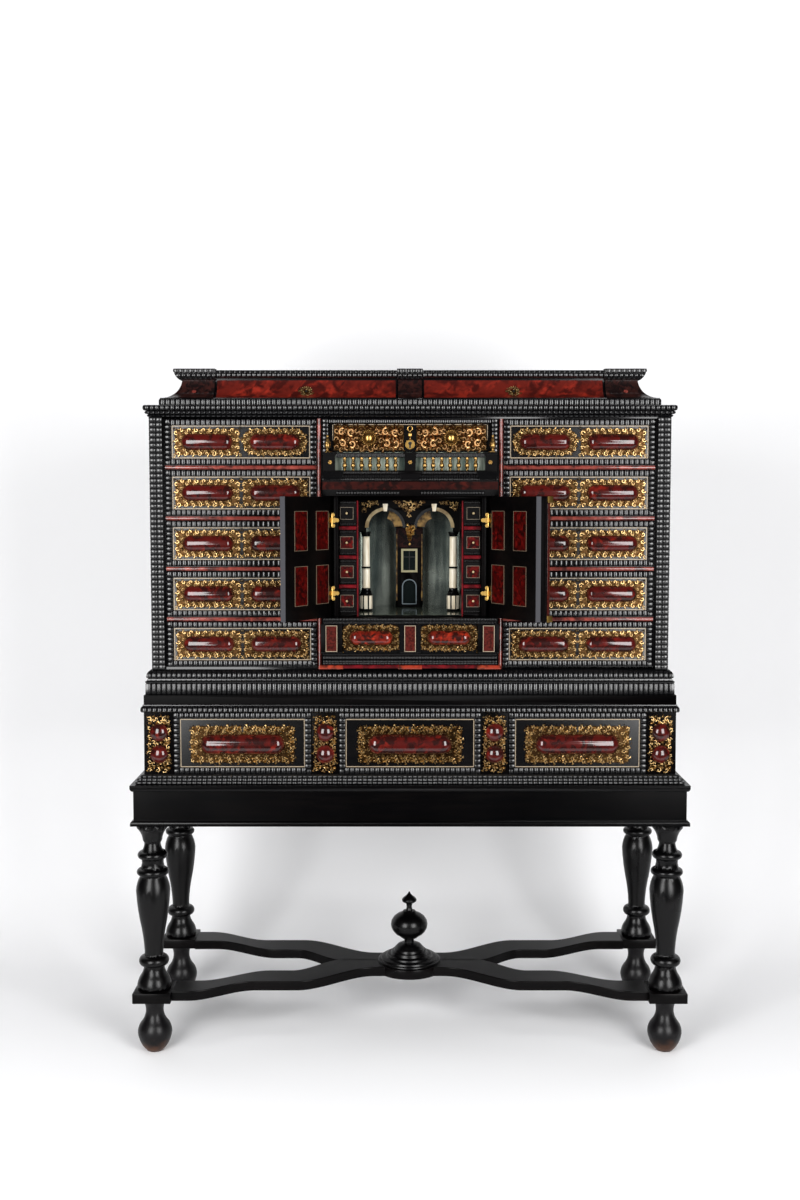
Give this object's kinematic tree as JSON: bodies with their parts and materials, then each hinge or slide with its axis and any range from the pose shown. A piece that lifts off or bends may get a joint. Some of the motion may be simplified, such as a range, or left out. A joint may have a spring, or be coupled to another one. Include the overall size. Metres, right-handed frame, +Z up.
{
  "type": "collector's cabinet on stand",
  "caption": "Ebonised collector's cabinet with tortoiseshell cushions and gilt mounts, drawers around a portico with two hinged doors, on a stand of turned legs and a wavy stretcher.",
  "frame": {"origin": "on the floor, under the middle of the outline with the doors open", "axes": "+Z up, +X to the viewer's right, the front faces -Y"},
  "size_m": [1.291, 0.606, 1.5965],
  "materials": {
    "ebony": "polished black",
    "tortoiseshell": "polished",
    "gilt": "gilt",
    "ivory": "satin bone",
    "mirror": "old mirror"
  },
  "bodies": {
    "cabinet": {"feet": "ebony", "legs": "ebony", "stretcher": "ebony", "stretcher_finial": "ebony", "stand_apron": "ebony", "base_case": "ebony", "base_bosses": "tortoiseshell", "main_case": "ebony", "case_mouldings": "ebony", "top_case": "ebony", "centre_front": "ebony", "gallery": "gilt", "inner_case": "ebony", "niche_screen": "ebony", "niche_columns": "ivory", "niche_mirrors": "mirror", "door_hinges": "gilt"},
    "left_drawer_1": {"left_drawer_1": "ebony", "left_cushions_1": "tortoiseshell"},
    "right_drawer_1": {"right_drawer_1": "ebony", "right_cushions_1": "tortoiseshell"},
    "left_drawer_2": {"left_drawer_2": "ebony", "left_cushions_2": "tortoiseshell"},
    "right_drawer_2": {"right_drawer_2": "ebony", "right_cushions_2": "tortoiseshell"},
    "left_drawer_3": {"left_drawer_3": "ebony", "left_cushions_3": "tortoiseshell"},
    "right_drawer_3": {"right_drawer_3": "ebony", "right_cushions_3": "tortoiseshell"},
    "left_drawer_4": {"left_drawer_4": "ebony", "left_cushions_4": "tortoiseshell"},
    "right_drawer_4": {"right_drawer_4": "ebony", "right_cushions_4": "tortoiseshell"},
    "left_drawer_5": {"left_drawer_5": "ebony", "left_cushions_5": "tortoiseshell"},
    "right_drawer_5": {"right_drawer_5": "ebony", "right_cushions_5": "tortoiseshell"},
    "base_drawer_left": {"base_drawer_left": "ebony", "base_cushion_left": "tortoiseshell"},
    "base_drawer_centre": {"base_drawer_centre": "ebony", "base_cushion_centre": "tortoiseshell"},
    "base_drawer_right": {"base_drawer_right": "ebony", "base_cushion_right": "tortoiseshell"},
    "frieze_drawer": {"frieze_drawer": "ebony"},
    "plinth_drawer": {"plinth_drawer": "ebony", "plinth_cushions": "tortoiseshell"},
    "top_drawer_left": {"top_drawer_left": "ebony"},
    "top_drawer_right": {"top_drawer_right": "ebony"},
    "inner_drawer_left_1": {"inner_drawer_left_1": "ebony"},
    "inner_drawer_right_1": {"inner_drawer_right_1": "ebony"},
    "inner_drawer_left_2": {"inner_drawer_left_2": "ebony"},
    "inner_drawer_right_2": {"inner_drawer_right_2": "ebony"},
    "inner_drawer_left_3": {"inner_drawer_left_3": "ebony"},
    "inner_drawer_right_3": {"inner_drawer_right_3": "ebony"},
    "inner_drawer_left_4": {"inner_drawer_left_4": "ebony"},
    "inner_drawer_right_4": {"inner_drawer_right_4": "ebony"},
    "left_door": {"left_door": "ebony", "left_door_hinges": "gilt"},
    "right_door": {"right_door": "ebony", "right_door_hinges": "gilt"}
  },
  "joints": [
    {"name": "left_drawer_1_slide", "type": "slide", "parent": "cabinet", "child": "left_drawer_1", "axis": [0, -1, 0], "range_m": [0, 0.28]},
    {"name": "right_drawer_1_slide", "type": "slide", "parent": "cabinet", "child": "right_drawer_1", "axis": [0, -1, 0], "range_m": [0, 0.28]},
    {"name": "left_drawer_2_slide", "type": "slide", "parent": "cabinet", "child": "left_drawer_2", "axis": [0, -1, 0], "range_m": [0, 0.028]},
    {"name": "right_drawer_2_slide", "type": "slide", "parent": "cabinet", "child": "right_drawer_2", "axis": [0, -1, 0], "range_m": [0, 0.028]},
    {"name": "left_drawer_3_slide", "type": "slide", "parent": "cabinet", "child": "left_drawer_3", "axis": [0, -1, 0], "range_m": [0, 0.028]},
    {"name": "right_drawer_3_slide", "type": "slide", "parent": "cabinet", "child": "right_drawer_3", "axis": [0, -1, 0], "range_m": [0, 0.028]},
    {"name": "left_drawer_4_slide", "type": "slide", "parent": "cabinet", "child": "left_drawer_4", "axis": [0, -1, 0], "range_m": [0, 0.028]},
    {"name": "right_drawer_4_slide", "type": "slide", "parent": "cabinet", "child": "right_drawer_4", "axis": [0, -1, 0], "range_m": [0, 0.028]},
    {"name": "left_drawer_5_slide", "type": "slide", "parent": "cabinet", "child": "left_drawer_5", "axis": [0, -1, 0], "range_m": [0, 0.28]},
    {"name": "right_drawer_5_slide", "type": "slide", "parent": "cabinet", "child": "right_drawer_5", "axis": [0, -1, 0], "range_m": [0, 0.28]},
    {"name": "base_drawer_left_slide", "type": "slide", "parent": "cabinet", "child": "base_drawer_left", "axis": [0, -1, 0], "range_m": [0, 0.28]},
    {"name": "base_drawer_centre_slide", "type": "slide", "parent": "cabinet", "child": "base_drawer_centre", "axis": [0, -1, 0], "range_m": [0, 0.28]},
    {"name": "base_drawer_right_slide", "type": "slide", "parent": "cabinet", "child": "base_drawer_right", "axis": [0, -1, 0], "range_m": [0, 0.28]},
    {"name": "frieze_drawer_slide", "type": "slide", "parent": "cabinet", "child": "frieze_drawer", "axis": [0, -1, 0], "range_m": [0, 0.2]},
    {"name": "plinth_drawer_slide", "type": "slide", "parent": "cabinet", "child": "plinth_drawer", "axis": [0, -1, 0], "range_m": [0, 0.28]},
    {"name": "top_drawer_left_slide", "type": "slide", "parent": "cabinet", "child": "top_drawer_left", "axis": [0, -1, 0], "range_m": [0, 0.2]},
    {"name": "top_drawer_right_slide", "type": "slide", "parent": "cabinet", "child": "top_drawer_right", "axis": [0, -1, 0], "range_m": [0, 0.2]},
    {"name": "inner_drawer_left_1_slide", "type": "slide", "parent": "cabinet", "child": "inner_drawer_left_1", "axis": [0, 1, 0], "range_m": [-0.15, 0]},
    {"name": "inner_drawer_right_1_slide", "type": "slide", "parent": "cabinet", "child": "inner_drawer_right_1", "axis": [0, 1, 0], "range_m": [-0.15, 0]},
    {"name": "inner_drawer_left_2_slide", "type": "slide", "parent": "cabinet", "child": "inner_drawer_left_2", "axis": [0, 1, 0], "range_m": [-0.15, 0]},
    {"name": "inner_drawer_right_2_slide", "type": "slide", "parent": "cabinet", "child": "inner_drawer_right_2", "axis": [0, 1, 0], "range_m": [-0.15, 0]},
    {"name": "inner_drawer_left_3_slide", "type": "slide", "parent": "cabinet", "child": "inner_drawer_left_3", "axis": [0, 1, 0], "range_m": [-0.15, 0]},
    {"name": "inner_drawer_right_3_slide", "type": "slide", "parent": "cabinet", "child": "inner_drawer_right_3", "axis": [0, 1, 0], "range_m": [-0.15, 0]},
    {"name": "inner_drawer_left_4_slide", "type": "slide", "parent": "cabinet", "child": "inner_drawer_left_4", "axis": [0, 1, 0], "range_m": [-0.15, 0]},
    {"name": "inner_drawer_right_4_slide", "type": "slide", "parent": "cabinet", "child": "inner_drawer_right_4", "axis": [0, 1, 0], "range_m": [-0.15, 0]},
    {"name": "left_door_hinge", "type": "hinge", "parent": "cabinet", "child": "left_door", "pos_m": [-0.178, -0.14783, 1.025], "axis": [0, 0, 1], "range_deg": [-10, 121.5]},
    {"name": "right_door_hinge", "type": "hinge", "parent": "cabinet", "child": "right_door", "pos_m": [0.178, -0.14783, 1.025], "axis": [0, 0, -1], "range_deg": [-10, 121.5]}
  ]
}
